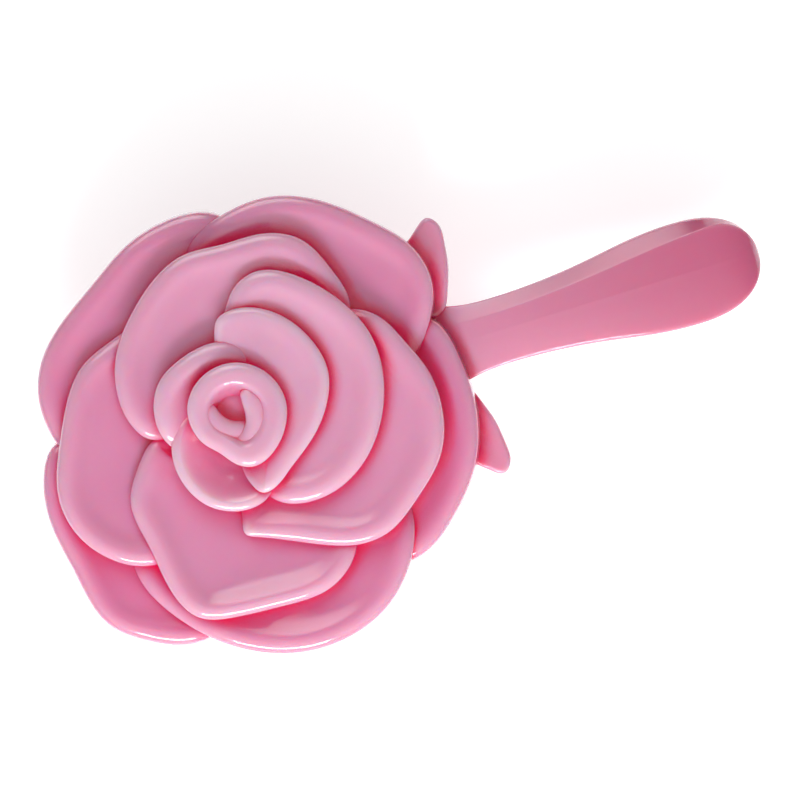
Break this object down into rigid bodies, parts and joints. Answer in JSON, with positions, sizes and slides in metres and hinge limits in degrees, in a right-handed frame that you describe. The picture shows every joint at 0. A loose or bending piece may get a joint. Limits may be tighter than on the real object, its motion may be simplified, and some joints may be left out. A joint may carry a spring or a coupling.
{
  "type": "vanity hairbrush",
  "caption": "Round air-cushion hairbrush with a short flared handle; its back is a large open rose in relief, in glossy pink plastic.",
  "frame": {"origin": "middle of the round head at the level of the pin tips, where the brush rests on a table", "axes": "+X along the handle from the head, +Z from the pin tips to the rose"},
  "size_m": [0.2004, 0.1208, 0.0526],
  "materials": {
    "rose_plastic": "polished moulded ABS",
    "shell_plastic": "polished moulded ABS",
    "ring_plastic": "polished moulded ABS",
    "cushion_rubber": "soft satin rubber",
    "pins": "moulded nylon pins",
    "screw_steel": "zinc-plated steel"
  },
  "bodies": {
    "brush_body": {"rose_cover": "rose_plastic", "front_shell": "shell_plastic", "back_shell": "shell_plastic", "retaining_ring": "ring_plastic", "cushion_skirt": "cushion_rubber", "cover_screws": "screw_steel"},
    "pin_field": {"pin_strip_01": "pins", "pin_strip_02": "pins", "pin_strip_03": "pins", "pin_strip_04": "pins", "pin_strip_05": "pins", "pin_strip_06": "pins", "pin_strip_07": "pins", "pin_strip_08": "pins", "pin_strip_09": "pins", "pin_strip_10": "pins", "pin_strip_11": "pins", "pin_strip_12": "pins"}
  },
  "joints": [
    {"name": "cushion_press", "type": "slide", "parent": "brush_body", "child": "pin_field", "axis": [0, 0, 1], "range_m": [0, 0.0025], "stiffness_N_per_m": 3000, "springref_m": -0.002, "deforming": ["cushion_skirt"]}
  ]
}
